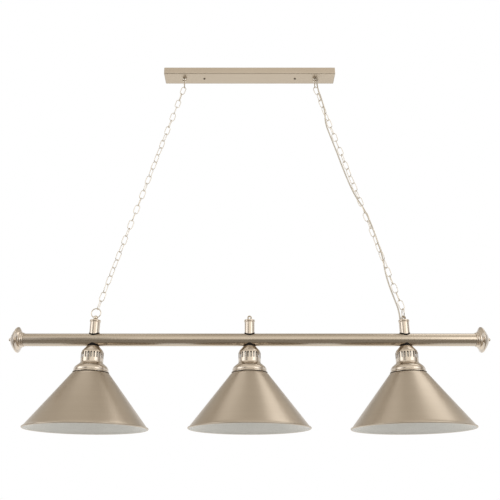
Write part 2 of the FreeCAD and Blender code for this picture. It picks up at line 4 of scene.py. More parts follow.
import bmesh
import bpy
from mathutils import Matrix, Vector


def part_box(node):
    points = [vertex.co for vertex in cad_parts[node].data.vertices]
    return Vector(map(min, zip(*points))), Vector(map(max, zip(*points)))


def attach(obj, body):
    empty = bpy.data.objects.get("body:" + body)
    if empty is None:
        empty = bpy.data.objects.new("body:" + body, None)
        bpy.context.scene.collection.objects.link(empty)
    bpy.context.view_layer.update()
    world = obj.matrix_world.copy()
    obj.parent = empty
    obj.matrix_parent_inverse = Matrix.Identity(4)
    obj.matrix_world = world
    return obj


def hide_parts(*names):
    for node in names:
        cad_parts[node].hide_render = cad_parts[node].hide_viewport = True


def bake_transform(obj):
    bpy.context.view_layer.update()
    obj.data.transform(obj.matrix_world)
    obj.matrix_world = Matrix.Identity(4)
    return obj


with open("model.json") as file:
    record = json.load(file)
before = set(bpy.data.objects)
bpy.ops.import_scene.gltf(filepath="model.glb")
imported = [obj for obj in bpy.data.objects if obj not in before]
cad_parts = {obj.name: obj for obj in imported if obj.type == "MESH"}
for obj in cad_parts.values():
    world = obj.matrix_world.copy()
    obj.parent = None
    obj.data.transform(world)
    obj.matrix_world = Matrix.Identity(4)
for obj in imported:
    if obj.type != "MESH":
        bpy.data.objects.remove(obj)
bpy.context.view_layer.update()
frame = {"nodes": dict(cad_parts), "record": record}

# Pool table lamp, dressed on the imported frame.  Metres, except where a helper
# takes millimetres and says so.

MM = 0.001
LAMPS = ("left", "middle", "right")
SIDES = {"left": -1, "right": 1}


def middle(node):
    """Middle of a node's box."""
    low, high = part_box(node)
    return (Vector(low) + Vector(high)) / 2


LAMP_X = {name: middle("shade_" + name).x for name in LAMPS}
BAR_Z = middle("bar_tube_left").z


# ---- camera ------------------------------------------------------------------

def make_camera():
    """A little below the bar, looking up, so that the canopy and the shades' insides both show."""
    data = bpy.data.cameras.new("camera")
    data.lens = 46.05
    data.sensor_width = 36
    data.clip_end = 100
    camera = bpy.data.objects.new("camera", data)
    bpy.context.scene.collection.objects.link(camera)
    camera.location = (0.00134, -1.89834, BAR_Z - 0.43733)
    camera.rotation_euler = (math.radians(90 + 20.97), 0, 0)
    bpy.context.scene.camera = camera


make_camera()


# ---- mesh helpers ------------------------------------------------------------

def finish_mesh(mesh, sharp=36):
    """Welds, turns the faces outward and shades smooth up to an angle."""
    work = bmesh.new()
    work.from_mesh(mesh)
    bmesh.ops.remove_doubles(work, verts=work.verts, dist=1e-7)
    bmesh.ops.recalc_face_normals(work, faces=work.faces)
    for face in work.faces:
        face.smooth = True
    work.to_mesh(mesh)
    work.free()
    mesh.set_sharp_from_angle(angle=math.radians(sharp))
    return mesh


def piece(name, mesh, body, materials, at=(0, 0, 0), turn=(0, 0, 0), stands_for=()):
    """New object that rides a body, takes the given materials and hides the CAD nodes it stands for."""
    made = bpy.data.objects.new(name, mesh)
    bpy.context.scene.collection.objects.link(made)
    made.location = at
    made.rotation_euler = turn
    for material in materials:
        mesh.materials.append(material)
    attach(made, body)
    if stands_for:
        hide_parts(*stands_for)
    return made


def traced(outline, steps=8):
    """Outline in which each triple, an arc's middle point, becomes points on its arc."""
    points = [outline[0]]
    via = None
    for place in outline[1:]:
        if len(place) == 3:
            via = place
            continue
        if via:
            (ax, ay), (bx, by), (cx, cy) = points[-1], via[:2], place
            d = 2 * (ax * (by - cy) + bx * (cy - ay) + cx * (ay - by))
            sa, sb, sc = ax * ax + ay * ay, bx * bx + by * by, cx * cx + cy * cy
            ux = (sa * (by - cy) + sb * (cy - ay) + sc * (ay - by)) / d
            uy = (sa * (cx - bx) + sb * (ax - cx) + sc * (bx - ax)) / d
            radius = math.hypot(ax - ux, ay - uy)
            start = math.atan2(ay - uy, ax - ux)
            turn = math.atan2(cy - uy, cx - ux) - start
            halfway = math.atan2(by - uy, bx - ux) - start
            turn %= 2 * math.pi
            if halfway % (2 * math.pi) > turn:
                turn -= 2 * math.pi
            for k in range(1, steps):
                angle = start + turn * k / steps
                points.append((ux + radius * math.cos(angle), uy + radius * math.sin(angle)))
            via = None
        points.append(tuple(place))
    return points


def softened(points, radius, steps=3, least=14):
    """Closed outline with its corners rounded off."""
    made = []
    for k, corner in enumerate(points):
        here = Vector(corner)
        back = Vector(points[k - 1]) - here
        ahead = Vector(points[(k + 1) % len(points)]) - here
        if here.x < 1e-6 or back.length < 1e-6 or ahead.length < 1e-6:
            made.append(tuple(corner))
            continue
        if math.degrees(math.pi - back.angle(ahead)) < least:
            made.append(tuple(corner))
            continue
        reach = min(radius, 0.45 * back.length, 0.45 * ahead.length)
        enter = here + back.normalized() * reach
        leave = here + ahead.normalized() * reach
        for step in range(steps + 1):
            t = step / steps
            made.append(tuple((1 - t) ** 2 * enter + 2 * t * (1 - t) * here + t * t * leave))
    return made


def lathe(name, outline, segments=128, skin=None, sharp=36):
    """Closed outline in millimetres, turned about Z; skin picks a material from an edge's middle."""
    mesh = bpy.data.meshes.new(name)
    count = len(outline)
    verts = []
    for k in range(segments):
        angle = 2 * math.pi * k / segments
        verts += [(r * math.cos(angle) * MM, r * math.sin(angle) * MM, z * MM) for r, z in outline]
    faces, kinds = [], []
    for k in range(segments):
        ahead = (k + 1) % segments
        for i in range(count):
            j = (i + 1) % count
            if outline[i][0] < 1e-6 and outline[j][0] < 1e-6:
                continue
            faces.append((k * count + i, ahead * count + i, ahead * count + j, k * count + j))
            kinds.append(skin(i) if skin else 0)
    mesh.from_pydata(verts, [], faces)
    mesh.polygons.foreach_set("material_index", kinds)
    return finish_mesh(mesh, sharp)


def sweep(name, path, radii, closed, sides=14, ends=True):
    """Round tube in metres that follows a path, with one radius for each of its points."""
    mesh = bpy.data.meshes.new(name)
    count = len(path)
    tangents = []
    for k in range(count):
        before = path[k - 1] if closed or k else path[k]
        after = path[(k + 1) % count] if closed or k + 1 < count else path[k]
        tangents.append((after - before).normalized())
    side = tangents[0].orthogonal().normalized()
    if closed:
        plane = sum((tangents[k].cross(tangents[(k + 1) % count]) for k in range(count)), Vector())
        side = plane.normalized()
    verts, faces = [], []
    for k in range(count):
        side = (side - tangents[k] * side.dot(tangents[k])).normalized()
        other = tangents[k].cross(side)
        for s in range(sides):
            angle = 2 * math.pi * s / sides
            verts.append(path[k] + (side * math.cos(angle) + other * math.sin(angle)) * radii[k])
    for k in range(count if closed else count - 1):
        ahead = (k + 1) % count
        for s in range(sides):
            t = (s + 1) % sides
            faces.append((k * sides + s, k * sides + t, ahead * sides + t, ahead * sides + s))
    if ends and not closed:
        faces.append(tuple(range(sides)))
        faces.append(tuple((count - 1) * sides + s for s in range(sides)))
    mesh.from_pydata([tuple(v) for v in verts], [], faces)
    return finish_mesh(mesh, 50)


def carved(name, mesh, cutters):
    """Mesh with other meshes cut out of it."""
    body = bpy.data.objects.new("carve_body", mesh)
    bpy.context.scene.collection.objects.link(body)
    tools = []
    for k, cutter in enumerate(cutters):
        tool = bpy.data.objects.new("carve_tool_%d" % k, cutter)
        bpy.context.scene.collection.objects.link(tool)
        cut = body.modifiers.new("cut_%d" % k, "BOOLEAN")
        cut.operation = "DIFFERENCE"
        cut.solver = "EXACT"
        cut.object = tool
        tools.append(tool)
    bpy.context.view_layer.update()
    made = bpy.data.meshes.new_from_object(body.evaluated_get(bpy.context.evaluated_depsgraph_get()))
    made.name = name
    for thing in (body, *tools):
        bpy.data.objects.remove(thing)
    return finish_mesh(made, 30)


# ---- materials ---------------------------------------------------------------

class Shader:
    """A node material built step by step round one Principled shader."""

    def __init__(self, name, colour, roughness, metallic=0.0, **sockets):
        self.material = bpy.data.materials.new(name)
        self.material.use_nodes = True
        self.tree = self.material.node_tree
        self.shader = self.tree.nodes["Principled BSDF"]
        self.shader.inputs["Base Color"].default_value = (*colour, 1)
        self.shader.inputs["Roughness"].default_value = roughness
        self.shader.inputs["Metallic"].default_value = metallic
        for socket, value in sockets.items():
            self.shader.inputs[socket.replace("_", " ")].default_value = value

    def node(self, kind, **settings):
        made = self.tree.nodes.new("ShaderNode" + kind)
        for key, value in settings.items():
            setattr(made, key, value)
        return made

    def link(self, source, target):
        self.tree.links.new(source, target)

    def place(self, scale):
        where = self.node("TexCoord")
        mapping = self.node("Mapping")
        mapping.inputs["Scale"].default_value = scale
        self.link(where.outputs["Object"], mapping.inputs["Vector"])
        return mapping.outputs["Vector"]

    def noise(self, vector, detail=3.0, rough=0.55):
        made = self.node("TexNoise")
        made.inputs["Scale"].default_value = 1.0
        made.inputs["Detail"].default_value = detail
        made.inputs["Roughness"].default_value = rough
        self.link(vector, made.inputs["Vector"])
        return made.outputs["Fac"]

    def ramp(self, value, low, high, to_low=0.0, to_high=1.0):
        made = self.node("MapRange")
        limits = {"From Min": low, "From Max": high, "To Min": to_low, "To Max": to_high}
        for socket, number in limits.items():
            made.inputs[socket].default_value = number
        self.link(value, made.inputs["Value"])
        return made.outputs["Result"]

    def maths(self, operation, first, second):
        made = self.node("Math", operation=operation)
        for slot, value in enumerate((first, second)):
            if isinstance(value, (int, float)):
                made.inputs[slot].default_value = value
            else:
                self.link(value, made.inputs[slot])
        return made.outputs["Value"]

    def mix(self, factor, first, second):
        made = self.node("Mix", data_type="RGBA")
        self.link(factor, made.inputs["Factor"])
        for slot, colour in ((6, first), (7, second)):
            if isinstance(colour, tuple):
                made.inputs[slot].default_value = (*colour, 1)
            else:
                self.link(colour, made.inputs[slot])
        return made.outputs[2]

    def bump(self, height, strength, distance):
        made = self.node("Bump")
        made.inputs["Strength"].default_value = strength
        made.inputs["Distance"].default_value = distance
        self.link(height, made.inputs["Height"])
        self.link(made.outputs["Normal"], self.shader.inputs["Normal"])

    def set(self, socket, value):
        self.link(value, self.shader.inputs[socket])


def nickel(name, grain, colour, dark, roughness, anisotropy=0.0, axis=None, bump=0.025, streak=0.5):
    """Brushed or turned nickel: fine grain, slow tarnish clouds, small rubs and smudges."""
    made = Shader(name, colour, roughness, metallic=1.0, Anisotropic=anisotropy)
    fine = made.noise(made.place(grain), detail=4.0, rough=0.6)
    broad = made.noise(made.place(tuple(0.2 * g for g in grain)), detail=3.0)
    cloud = made.noise(made.place((11, 11, 11)), detail=3.0, rough=0.6)
    rub = made.noise(made.place((25, 25, 25)), detail=3.0, rough=0.6)
    lines = made.maths("ADD", made.maths("MULTIPLY", fine, 1 - streak),
                       made.maths("MULTIPLY", broad, streak))
    tone = made.maths("ADD", made.maths("MULTIPLY", lines, 0.6), made.maths("MULTIPLY", cloud, 0.4))
    made.set("Base Color", made.mix(made.ramp(tone, 0.3, 0.7), dark, colour))
    rough = made.ramp(lines, 0.3, 0.7, roughness - 0.012, roughness + 0.018)
    worn = made.maths("MULTIPLY", made.ramp(rub, 0.55, 0.75), 0.02)
    made.set("Roughness", made.maths("ADD", rough, worn))
    made.bump(lines, bump, 0.0001)
    if axis:
        tangent = made.node("Tangent", direction_type="RADIAL", axis=axis)
        made.link(tangent.outputs["Tangent"], made.shader.inputs["Tangent"])
    return made.material


def moulded(name, colour, dark, roughness, grain=160, bump=0.12, **sockets):
    """Moulded, glazed or enamelled surface: uneven skin, faint dust and clouds."""
    made = Shader(name, colour, roughness, **sockets)
    skin = made.noise(made.place((grain, grain, grain)), detail=4.0)
    cloud = made.noise(made.place((18, 18, 18)), detail=3.0)
    tone = made.maths("ADD", made.maths("MULTIPLY", skin, 0.4), made.maths("MULTIPLY", cloud, 0.6))
    made.set("Base Color", made.mix(made.ramp(tone, 0.38, 0.62), dark, colour))
    made.set("Roughness", made.ramp(skin, 0.3, 0.7, roughness - 0.05, roughness + 0.07))
    made.bump(skin, bump, 0.0003)
    return made.material


WARM = (0.530, 0.462, 0.380)
WARM_DARK = (0.490, 0.425, 0.346)
PALE = (0.760, 0.700, 0.610)
PALE_DARK = (0.660, 0.600, 0.510)

canopy_nickel = nickel("satin_nickel", (9, 240, 240), WARM, WARM_DARK, 0.34, bump=0.006)
tube_nickel = nickel("tube_nickel", (4, 90, 90), WARM, WARM_DARK, 0.25, bump=0.003)
shade_nickel = nickel("shade_nickel", (12, 12, 620), WARM, WARM_DARK, 0.31, anisotropy=0.5, axis="Z",
                      streak=0.6)
# The turned and finial nickels are lighter copies of the canopy's nickel. Their brighter base colours are
# painted light: they stand in for the brighter light on the necks, ferrules and finials.
turned_nickel = nickel("turned_nickel", (25, 25, 700), (0.61, 0.535, 0.45), (0.56, 0.49, 0.41), 0.22,
                       anisotropy=0.2, axis="Z", bump=0.008)
finial_nickel_painted_bright = nickel("finial_nickel_painted_bright", (700, 30, 30), (0.66, 0.585, 0.50), (0.60, 0.53, 0.45), 0.16,
                       anisotropy=0.2, axis="X", bump=0.004)
cast_nickel = nickel("cast_nickel", (260, 260, 260), WARM, WARM_DARK, 0.22)
eye_nickel = nickel("polished_nickel", (260, 260, 260), PALE, PALE_DARK, 0.2)
chain_nickel = nickel("chain_nickel", (260, 260, 260), PALE, PALE_DARK, 0.22)
zinc = nickel("zinc_steel", (300, 300, 300), (0.56, 0.53, 0.475), (0.46, 0.43, 0.385), 0.36)
dark_screw = nickel("dark_screw", (300, 300, 300), (0.26, 0.22, 0.18), (0.18, 0.15, 0.12), 0.24)
rubber = moulded("black_rubber", (0.016, 0.012, 0.010), (0.008, 0.006, 0.005), 0.75, grain=900,
                 Specular_IOR_Level=0.15)
plastic = moulded("black_plastic", (0.024, 0.022, 0.021), (0.013, 0.012, 0.012), 0.34)
enamel = moulded("white_enamel", (0.82, 0.80, 0.745), (0.78, 0.76, 0.705), 0.28, grain=420, bump=0.10,
                 Coat_Weight=0.35, Coat_Roughness=0.12)
porcelain = moulded("porcelain", (0.82, 0.81, 0.77), (0.76, 0.75, 0.71), 0.2, grain=90, bump=0.05,
                    Coat_Weight=0.6, Coat_Roughness=0.08)
frosted = moulded("bulb_white", (0.88, 0.88, 0.85), (0.84, 0.84, 0.81), 0.4, grain=500, bump=0.04,
                  Subsurface_Weight=0.15)
cord_skin = moulded("cord_pvc", (0.80, 0.72, 0.60), (0.72, 0.64, 0.52), 0.32, grain=700, Coat_Weight=0.2)
lead_skin = moulded("lead_pvc", (0.75, 0.73, 0.68), (0.70, 0.68, 0.63), 0.4)
clear = moulded("clear_plastic", (0.70, 0.65, 0.57), (0.62, 0.57, 0.50), 0.3, grain=300, Coat_Weight=0.3)
nylon = moulded("terminal_plastic", (0.80, 0.79, 0.75), (0.74, 0.73, 0.69), 0.5)

MATERIALS = {
    "satin_nickel": tube_nickel, "shade_nickel": shade_nickel, "turned_nickel": cast_nickel,
    "polished_nickel": eye_nickel, "chain_nickel": chain_nickel, "zinc_steel": zinc,
    "black_rubber": rubber, "black_plastic": plastic, "porcelain": porcelain, "bulb_white": frosted,
    "cord_pvc": cord_skin, "lead_pvc": lead_skin, "clear_plastic": clear, "terminal_plastic": nylon,
}
for part in frame["record"]["subparts"]:
    node = frame["nodes"][part["node"]]
    node.data.materials.clear()
    node.data.materials.append(MATERIALS[part["material_slot"]])


# ---- power cord --------------------------------------------------------------

CORD_DIAMETER = 0.0048
CORD_ROUTE = [
    (0.2390, 0.0115, -0.0229),
    (0.2390, 0.0115, -0.0549),
    (0.2524, 0.0130, -0.0955),
    (0.2638, 0.0165, -0.1515),
    (0.2618, 0.0130, -0.1991),
    (0.2780, 0.0095, -0.2569),
    (0.2967, 0.0120, -0.3160),
    (0.3132, 0.0100, -0.3758),
    (0.3324, 0.0125, -0.4348),
    (0.3517, 0.0165, -0.4812),
    (0.3765, 0.0135, -0.5260),
    (0.3955, 0.0100, -0.5829),
    (0.4113, 0.0120, -0.6408),
    (0.4252, 0.0155, -0.6930),
    (0.4289, 0.0168, -0.7420),
    (0.4373, 0.0130, -0.7896),
    (0.4484, 0.0075, -0.8322),
    (0.4605, 0.0045, -0.8767),
    (0.4605, 0.0045, -0.9067),
]


def spline_points(route):
    """Points along the smooth line that the route's control points give."""
    data = bpy.data.curves.new("route", "CURVE")
    data.dimensions = "3D"
    data.resolution_u = 12
    spline = data.splines.new("NURBS")
    spline.points.add(len(route) - 1)
    for point, place in zip(spline.points, route):
        point.co = (*place, 1)
    spline.order_u = 3
    spline.use_endpoint_u = True
    line = bpy.data.objects.new("route", data)
    bpy.context.scene.collection.objects.link(line)
    bpy.context.view_layer.update()
    mesh = bpy.data.meshes.new_from_object(line.evaluated_get(bpy.context.evaluated_depsgraph_get()))
    points = [vertex.co.copy() for vertex in mesh.vertices]
    bpy.data.objects.remove(line)
    return points


def make_cord():
    """Cord beside the right chain, from the canopy's bushing to the right ferrule's."""
    path = spline_points(CORD_ROUTE)
    mesh = sweep("power_cord_sheath", path, [CORD_DIAMETER / 2] * len(path), False, sides=16)
    cord = bpy.data.objects.new("power_cord_sheath", mesh)
    bpy.context.scene.collection.objects.link(cord)
    mesh.materials.append(cord_skin)
    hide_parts("power_cord")
    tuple(CORD_ROUTE[0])
    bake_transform(cord)


make_cord()


# ---- chains and rings --------------------------------------------------------

LINK_WIDTH = 17.5
LINK_WIRE = 2.4
LINK_GAP = 0.3
LINK_PITCH = 28.1
LINK_TWIST = 97.0
RING_WIRE = 3.2
RING_MEAN = 14.4
EYE_X = 230.0
LINK_PIVOT_Z = -62.5
BEND_STEPS = 12


def link_mesh(name, inner):
    """Oval link along Z in the XZ plane, its bends a little flattened and its weld bead on one side."""
    bend = (LINK_WIDTH - LINK_WIRE) / 2
    straight = inner / 2 + LINK_WIRE / 2 - bend
    path, radii = [], []

    def add(x, z, radius=LINK_WIRE / 2):
        path.append(Vector((x, 0, z)) * MM)
        radii.append(radius * MM)

    for k in range(BEND_STEPS + 1):
        angle = math.pi * k / BEND_STEPS
        worn = 1 - 0.05 * math.sin(angle) ** 6
        add(bend * math.cos(angle), straight + bend * math.sin(angle), LINK_WIRE / 2 * worn)
    weld = ((0.35, 1), (0.44, 1.04), (0.47, 1.16), (0.5, 1.22), (0.53, 1.16), (0.56, 1.04), (0.65, 1))
    for share, swell in weld:
        add(-bend, straight * (1 - 2 * share), LINK_WIRE / 2 * swell)
    for k in range(BEND_STEPS + 1):
        angle = math.pi + math.pi * k / BEND_STEPS
        worn = 1 - 0.05 * abs(math.sin(angle)) ** 6
        add(bend * math.cos(angle), -straight + bend * math.sin(angle), LINK_WIRE / 2 * worn)
    return sweep(name, path, radii, True, sides=12)


def ring_mesh(name):
    """Welded ring in the XZ plane."""
    path, radii = [], []
    steps, weld = 60, 38
    for k in range(steps):
        angle = 2 * math.pi * k / steps
        swell = 1 + 0.16 * math.exp(-((k - weld) / 1.2) ** 2)
        path.append(Vector((math.cos(angle), 0, math.sin(angle))) * RING_MEAN * MM)
        radii.append(RING_WIRE / 2 * swell * MM)
    return sweep(name, path, radii, True, sides=16)


def join_meshes(name, placed):
    """One mesh out of meshes and the matrices that place them."""
    work = bmesh.new()
    for mesh, matrix in placed:
        copy = mesh.copy()
        copy.transform(matrix)
        work.from_mesh(copy)
    made = bpy.data.meshes.new(name)
    work.to_mesh(made)
    work.free()
    return made


def make_chain(name, side):
    """Chain of twisted oval links, the link above it and the ring below it."""
    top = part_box("top_link_" + name)
    start = Vector((side * EYE_X, 0, LINK_PIVOT_Z))
    ring = middle("ring_" + name) / MM
    front = side < 0
    if front:
        reach = (ring - start) * (1 - RING_MEAN / (ring - start).length)
    else:
        reach = ring + Vector((0, 0, RING_MEAN)) - start
    direction = reach.normalized()
    span = reach.length + (RING_WIRE + LINK_GAP) / 2
    links = round(span / LINK_PITCH)
    pitch = span / links
    last = 90 if front else 0
    half_turns = round(((links - 1) * LINK_TWIST - last) / 180)
    twist = (last + 180 * half_turns) / (links - 1)
    mesh = link_mesh("link_" + name, pitch + LINK_GAP)
    lean = Matrix.Rotation(math.atan2(-direction.x, -direction.z), 4, "Y")
    placed = []
    for k in range(links):
        spin = Matrix.Rotation(math.radians(k * twist), 4, "Z")
        at = Matrix.Translation((start + direction * (pitch * (k + 0.5))) * MM)
        placed.append((mesh, at @ lean @ spin))
    chain = join_meshes("chain_links_" + name, placed)
    piece("chain_links_" + name, chain, "chain_" + name, [chain_nickel],
          stands_for=["chain_" + name])

    inner = (top[1].z - top[0].z) / MM - 2 * LINK_WIRE
    turn = (0, 0, math.pi / 2)
    piece("link_under_canopy_" + name, link_mesh("link_under_canopy_" + name, inner), "top_link_" + name,
          [chain_nickel], at=middle("top_link_" + name), turn=turn,
          stands_for=["top_link_" + name])
    piece("welded_ring_" + name, ring_mesh("welded_ring_" + name), "chain_" + name,
          [chain_nickel], at=ring * MM, turn=(0, 0, 0 if front else math.pi / 2),
          stands_for=["ring_" + name])


for name, side in SIDES.items():
    make_chain(name, side)


# ---- shades ------------------------------------------------------------------

def make_shade(name):
    """Spun cone: flat clamped top, rounded shoulder, rolled hem; nickel outside, enamel inside."""
    hole, shoulder, rim, hem, wall = 20.3, 53.2, 178.0, 2.4, 1.2
    top, low = -100.3, -261.0 + hem
    rows, bead_steps, bead_turn = 41, 18, 0.78
    slope = math.atan2(rim - hem - shoulder, -low + top)
    out = Vector((math.cos(slope), math.sin(slope)))
    start = Vector((shoulder, top))
    end = Vector((rim - hem, low)) + out * hem * 0.2
    outer = [(hole, top), (shoulder - 2.0, top), (shoulder - 0.6, top - 0.4), (shoulder + 0.6, top - 1.6)]
    outer += [tuple(start.lerp(end, k / rows)) for k in range(1, rows)]
    bead = []
    for k in range(bead_steps + 1):
        angle = math.pi / 2 + slope - math.pi * 2 * bead_turn * k / bead_steps
        bead.append((rim - hem + hem * math.cos(angle), low + hem * math.sin(angle)))
    foot = Vector((rim - hem, low)) - out * wall
    head = Vector((shoulder - wall * 0.7, top - wall))
    inner = [tuple(foot.lerp(head, k / rows)) for k in range(1, rows)]
    inner += [(shoulder - 2.4, top - wall), (hole, top - wall)]
    outline = outer + bead + inner
    nickel_edges = len(outer) + len(bead) - 2

    def skin(k):
        return 0 if k < nickel_edges else 1

    mesh = lathe("spun_shade_" + name, outline, segments=192, skin=skin, sharp=50)
    piece("spun_shade_" + name, mesh, "bar", [shade_nickel, enamel],
          at=(LAMP_X[name], 0, BAR_Z), stands_for=["shade_" + name])


for name in LAMPS:
    make_shade(name)


# ---- necks -------------------------------------------------------------------

def inset(points, depth):
    """Open outline moved inward by a wall's thickness."""
    made = []
    for k, place in enumerate(points):
        before = Vector(points[max(k - 1, 0)])
        after = Vector(points[min(k + 1, len(points) - 1)])
        run = (after - before).normalized()
        made.append((place[0] + run.y * depth, place[1] - run.x * depth))
    return made


def slot_cutters(count, radius, width, height, middle_z):
    """Upright slots with round ends, all round a wall."""
    steps, reach = 20, 4
    work = bmesh.new()
    half = (height - width) / 2
    for k in range(count):
        rim = []
        for step in range(steps):
            angle = 2 * math.pi * step / steps
            lift = half if math.sin(angle) >= 0 else -half
            rim.append((width / 2 * math.cos(angle), middle_z + lift + width / 2 * math.sin(angle)))
        turn = Matrix.Rotation(2 * math.pi * (k + 0.5) / count, 3, "Z")
        rings = []
        for r in (radius - reach, radius + reach):
            rings.append([work.verts.new(turn @ Vector((r, y, z)) * MM) for y, z in rim])
        for a in range(steps):
            b = (a + 1) % steps
            work.faces.new((rings[0][a], rings[0][b], rings[1][b], rings[1][a]))
        work.faces.new(rings[0])
        work.faces.new(rings[1])
    mesh = bpy.data.meshes.new("slots")
    bmesh.ops.recalc_face_normals(work, faces=work.faces)
    work.to_mesh(mesh)
    work.free()
    return mesh


def make_necks():
    """Spun bell with an upper cone, a slotted wall, a flared skirt and a rolled flange."""
    outer = traced([
        (18.8, -20.4), (29.2, -32.2), (32.4, -37.6, "arc"), (33.3, -43.9), (33.3, -66.3),
        (34.2, -70.5, "arc"), (38.1, -74.5), (45.0, -80.5), (49.2, -85.5, "arc"), (51.0, -91.9),
        (51.6, -95.9, "arc"), (53.6, -97.7), (53.6, -99.3)])
    stem_hole, wall = 5.3, 1.2
    outer = [(stem_hole, -20.4), (16.8, -20.4)] + outer
    inner = inset(outer, wall)
    inner[0] = (stem_hole, -20.4 - wall)
    inner[-1] = (53.6 - wall, -99.3)
    shell = lathe("neck_shell", softened(outer + inner[::-1], 0.35, least=20), segments=144)
    slots = slot_cutters(24, 33.3, width=5.4, height=18.0, middle_z=-49.0)
    bell = carved("slotted_neck", shell, [slots])
    bell.materials.clear()
    for name in LAMPS:
        piece("slotted_neck_" + name, bell.copy(), "bar", [turned_nickel],
              at=(LAMP_X[name], 0, BAR_Z), stands_for=["neck_" + name])


make_necks()


# ---- bar, ferrules and finials -------------------------------------------------

BAR_R = (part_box("bar_tube_left")[1].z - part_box("bar_tube_left")[0].z) / 2 / MM
TUBE_END = -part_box("bar_tube_left")[0].x / MM
TUBE_WALL = 1.5
SADDLE_WASHER = 3.02
ALONG_X = Matrix.Rotation(math.pi / 2, 4, "Y")


def make_bar():
    """The bar's two tubes, which meet at its middle, their ends a little rounded."""
    for name, side in SIDES.items():
        inner = BAR_R - TUBE_WALL
        outline = softened([(inner, 0), (BAR_R, 0), (BAR_R, TUBE_END), (inner, TUBE_END)], 0.35)
        mesh = lathe("bar_tube_" + name, outline, segments=144)
        mesh.transform(Matrix.Rotation(math.pi / 2 * side, 4, "Y"))
        piece("drawn_tube_" + name, mesh, "bar", [tube_nickel], at=(0, 0, BAR_Z),
              stands_for=["bar_tube_" + name])


def make_ferrules():
    """Cup on a saddle: straight body, waist groove, rounded lip and a shallow dished top."""
    high = 61.3
    low = high - 7.0
    outline = [(13.5, 10), (15, 10), (15, low - 0.9), (14.6, low - 0.3), (14.6, low + 0.3),
               (16.5, low + 1.6), (16.5, high - 2.4), (15.9, high - 0.6), (14.1, high), (11.0, high),
               (10.2, high - 0.3),
               (5.4, high - 0.3), (5.4, high - 3.0), (13.5, high - 3.0)]
    cup = lathe("ferrule_cup", softened(outline, 0.5), segments=96)
    saddle = BAR_R + SADDLE_WASHER
    bar = lathe("saddle_cut", [(0, -40), (saddle, -40), (saddle, 40), (0, 40)], segments=160)
    bar.transform(ALONG_X)
    cup = carved("ferrule", cup, [bar])
    cup.materials.clear()
    for name in LAMPS:
        piece("saddled_ferrule_" + name, cup.copy(), "bar", [turned_nickel],
              at=(LAMP_X[name], 0, BAR_Z), stands_for=["ferrule_" + name])


def make_finials():
    """Turned end: collar bead, stepped back, rim, domed face with two steps, small knob."""
    rim, collar, knob, back, end = 38.5, 21.5, 5.0, 18.0, 46.0
    spigot = BAR_R - TUBE_WALL - 0.05
    outline = traced([
        (0, -12), (spigot, -12), (spigot, 0), (collar - 1.6, 0), (collar, 2.4, "arc"), (collar - 1.6, 4.8),
        (collar + 0.6, 7.6, "arc"), (collar + 4.4, 8.8), (collar + 4.9, 10.0),
        (collar + 8.2, 12.6, "arc"), (rim - 1.6, back - 1.8), (rim, back, "arc"), (rim - 0.8, back + 1.8),
        (rim - 2.6, back + 4.2, "arc"), (rim - 6.0, back + 6.4), (rim - 7.2, back + 6.4),
        (rim - 9.6, back + 9.6, "arc"), (rim - 14.4, back + 12.6), (rim - 15.6, back + 12.6),
        (rim - 21.0, back + 17.2, "arc"), (knob + 4.6, back + 20.0), (knob - 1.4, back + 20.8),
        (knob, back + 24.4, "arc"), (knob - 2.2, end - 0.4), (knob - 3.4, end), (0, end)])
    for name, side in SIDES.items():
        mesh = lathe("turned_finial_" + name, softened(outline, 0.3, least=24), segments=144)
        mesh.transform(Matrix.Rotation(math.pi / 2 * side, 4, "Y"))
        piece("turned_finial_" + name, mesh, "bar", [finial_nickel_painted_bright],
              at=(side * TUBE_END * MM, 0, BAR_Z), stands_for=["finial_" + name])


make_bar()
make_ferrules()
make_finials()


# ---- canopy and its screws -----------------------------------------------------

def make_canopy():
    """Folded sheet box, open to the ceiling, with rounded corners and a tight bend at the bottom."""
    low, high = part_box("canopy")
    half_x, half_y, base = high.x / MM, high.y / MM, low.z / MM
    corner_radius, least_radius, corner_steps = 3.0, 0.6, 6
    work = bmesh.new()

    def ring(inset_by, z):
        radius = max(corner_radius - inset_by, least_radius)
        verts = []
        for corner, (sx, sy) in enumerate(((1, 1), (-1, 1), (-1, -1), (1, -1))):
            cx = sx * (half_x - inset_by - radius)
            cy = sy * (half_y - inset_by - radius)
            for step in range(corner_steps + 1):
                angle = math.pi / 2 * (corner + step / corner_steps)
                place = Vector((cx + radius * math.cos(angle), cy + radius * math.sin(angle), z))
                verts.append(work.verts.new(place * MM))
        return verts

    # How far each ring lies inside the outline, and its height: inside floor, rim, wall, bend.
    levels = [(1.2, base + 1.2), (1.2, -0.25), (1.0, -0.05), (0.2, -0.05), (0, -0.3), (0, base + 3.4),
              (0.12, base + 2.1), (0.55, base + 1.1), (1.25, base + 0.45), (2.2, base + 0.1), (3.4, base)]
    rings = [ring(*level) for level in levels]
    for a, b in zip(rings, rings[1:]):
        for k in range(len(a)):
            j = (k + 1) % len(a)
            work.faces.new((a[k], a[j], b[j], b[k]))
    work.faces.new(rings[0])
    work.faces.new(rings[-1])
    mesh = bpy.data.meshes.new("folded_canopy")
    work.to_mesh(mesh)
    work.free()
    piece("folded_canopy", finish_mesh(mesh, 30), "canopy", [canopy_nickel],
          stands_for=["canopy"])


